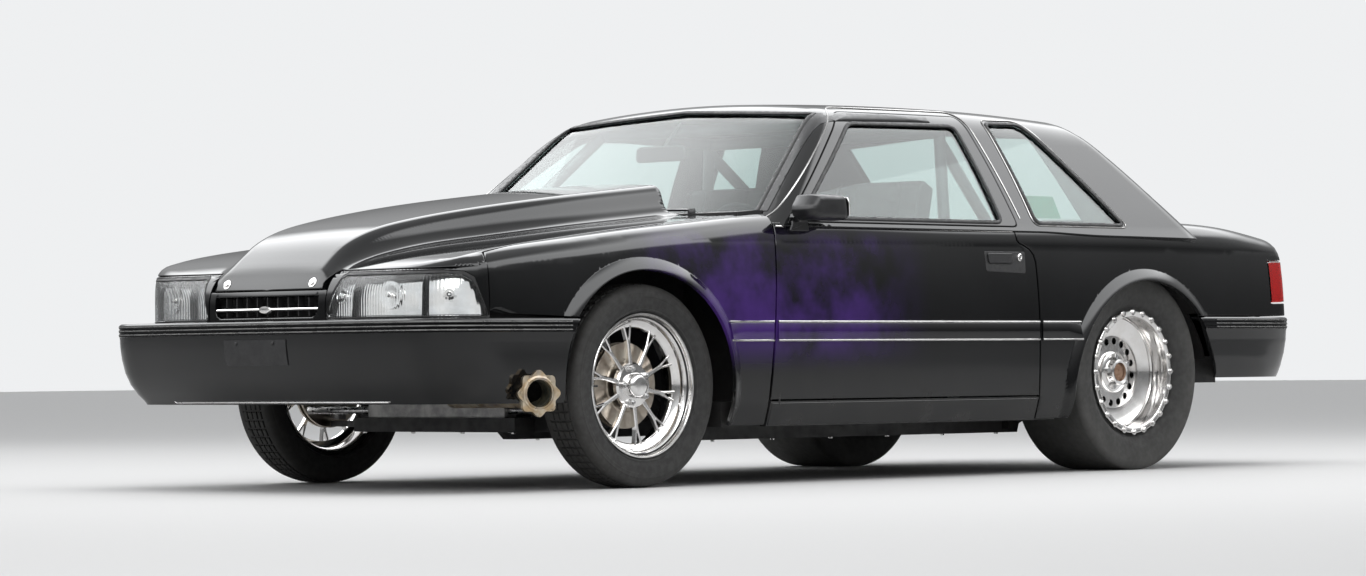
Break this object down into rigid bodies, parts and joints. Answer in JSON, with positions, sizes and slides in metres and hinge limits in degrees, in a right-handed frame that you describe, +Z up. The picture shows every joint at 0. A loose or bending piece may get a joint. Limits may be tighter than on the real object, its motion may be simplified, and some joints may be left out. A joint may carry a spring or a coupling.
{
  "type": "two-door notchback drag coupe",
  "caption": "Two-door notchback coupe set up for drag racing: skinny steered front wheels, wide rear slicks, opening doors, hood and boot lid, hollow cabin with a roll cage.",
  "frame": {"origin": "on the floor, below the middle of the car's length and width", "axes": "+X forward along the car, +Y to the car's left, +Z up"},
  "size_m": [4.562, 1.9, 1.321],
  "materials": {
    "body_paint": "deep gloss black paint, high clear coat",
    "chassis_black": "satin black chassis paint",
    "window_glass": "lightly green tinted safety glass, polished",
    "lamp_clear": "clear lamp lens over a ribbed reflector",
    "lamp_red": "red moulded lens",
    "trim_black": "textured black plastic",
    "polished_wheel": "polished to a mirror",
    "machined_steel": "turned, dry",
    "cast_aluminium": "as cast, dull",
    "cast_iron": "painted black, slightly dusty",
    "drag_rubber": "smooth tread, sidewalls greyed by track dust",
    "cage_paint": "light grey paint, semi gloss",
    "seat_cover": "black vinyl over foam",
    "exhaust_metal": "heat tinted steel, tan at the rim"
  },
  "bodies": {
    "root": {"coilovers": "machined_steel", "dashboard": "trim_black", "driveshaft": "machined_steel", "engine_block": "cast_iron", "exhaust_outlet": "exhaust_metal", "firewall": "chassis_black", "fixed_glass": "window_glass", "floor_pan": "chassis_black", "frame_rails": "chassis_black", "front_bumper_cover": "body_paint", "front_crossmember": "chassis_black", "front_fenders": "body_paint", "fuel_tank": "chassis_black", "headlamps": "lamp_clear", "inner_fenders": "chassis_black", "nose_panel": "trim_black", "package_shelf": "body_paint", "quarter_panels": "body_paint", "rack_housing": "cast_aluminium", "radiator": "cast_aluminium", "radiator_support": "chassis_black", "rear_axle": "cast_iron", "rear_bumper_cover": "body_paint", "roll_cage": "cage_paint", "roof": "body_paint", "seats": "seat_cover", "steering_wheel": "trim_black", "suspension_arms": "chassis_black", "tail_lamps": "lamp_red", "tail_panel": "body_paint", "transmission": "cast_aluminium"},
    "hood": {"hood": "body_paint"},
    "decklid": {"decklid": "body_paint"},
    "door_left": {"door_left": "body_paint", "door_glass_left": "window_glass", "door_mirror_left": "body_paint"},
    "door_right": {"door_right": "body_paint", "door_glass_right": "window_glass", "door_mirror_right": "body_paint"},
    "steer_left": {"knuckle_left": "cast_iron"},
    "steer_right": {"knuckle_right": "cast_iron"},
    "tie_rods": {"tie_rods": "machined_steel"},
    "front_wheel_left": {"front_wheel_left": "polished_wheel", "front_tyre_left": "drag_rubber", "brake_disc_left": "machined_steel"},
    "front_wheel_right": {"front_wheel_right": "polished_wheel", "front_tyre_right": "drag_rubber", "brake_disc_right": "machined_steel"},
    "rear_wheel_left": {"rear_wheel_left": "polished_wheel", "rear_tyre_left": "drag_rubber"},
    "rear_wheel_right": {"rear_wheel_right": "polished_wheel", "rear_tyre_right": "drag_rubber"}
  },
  "joints": [
    {"name": "hood_hinge", "type": "hinge", "parent": "root", "child": "hood", "pos_m": [0.815, 0, 0.892], "axis": [0, -1, 0], "range_deg": [0, 55]},
    {"name": "decklid_hinge", "type": "hinge", "parent": "root", "child": "decklid", "pos_m": [-1.662, 0, 0.897], "axis": [0, 1, 0], "range_deg": [0, 70]},
    {"name": "door_left_hinge", "type": "hinge", "parent": "root", "child": "door_left", "pos_m": [0.735, 0.86, 0.5], "axis": [0, 0, -1], "range_deg": [0, 65]},
    {"name": "door_right_hinge", "type": "hinge", "parent": "root", "child": "door_right", "pos_m": [0.735, -0.86, 0.5], "axis": [0, 0, 1], "range_deg": [0, 65]},
    {"name": "steer_left", "type": "hinge", "parent": "root", "child": "steer_left", "pos_m": [1.331, 0.645, 0.33], "axis": [0, -0.1305, 0.9914], "range_deg": [-32, 32]},
    {"name": "steer_right", "type": "hinge", "parent": "root", "child": "steer_right", "pos_m": [1.331, -0.645, 0.33], "axis": [0, 0.1305, 0.9914], "range_deg": [-32, 32]},
    {"name": "rack_slide", "type": "slide", "parent": "root", "child": "tie_rods", "axis": [0, 1, 0], "range_m": [-0.0727, 0.0727]},
    {"name": "front_left_roll", "type": "hinge", "parent": "steer_left", "child": "front_wheel_left", "pos_m": [1.331, 0.745, 0.33], "axis": [0, 1, 0], "continuous": true},
    {"name": "front_right_roll", "type": "hinge", "parent": "steer_right", "child": "front_wheel_right", "pos_m": [1.331, -0.745, 0.33], "axis": [0, 1, 0], "continuous": true},
    {"name": "rear_left_roll", "type": "hinge", "parent": "root", "child": "rear_wheel_left", "pos_m": [-1.222, 0.678, 0.3555], "axis": [0, 1, 0], "continuous": true},
    {"name": "rear_right_roll", "type": "hinge", "parent": "root", "child": "rear_wheel_right", "pos_m": [-1.222, -0.678, 0.3555], "axis": [0, 1, 0], "continuous": true}
  ],
  "couplings": [
    {"joint": "steer_right", "follows": "steer_left", "ratio": 1},
    {"joint": "rack_slide", "follows": "steer_left", "m_per_rad": 0.13}
  ]
}
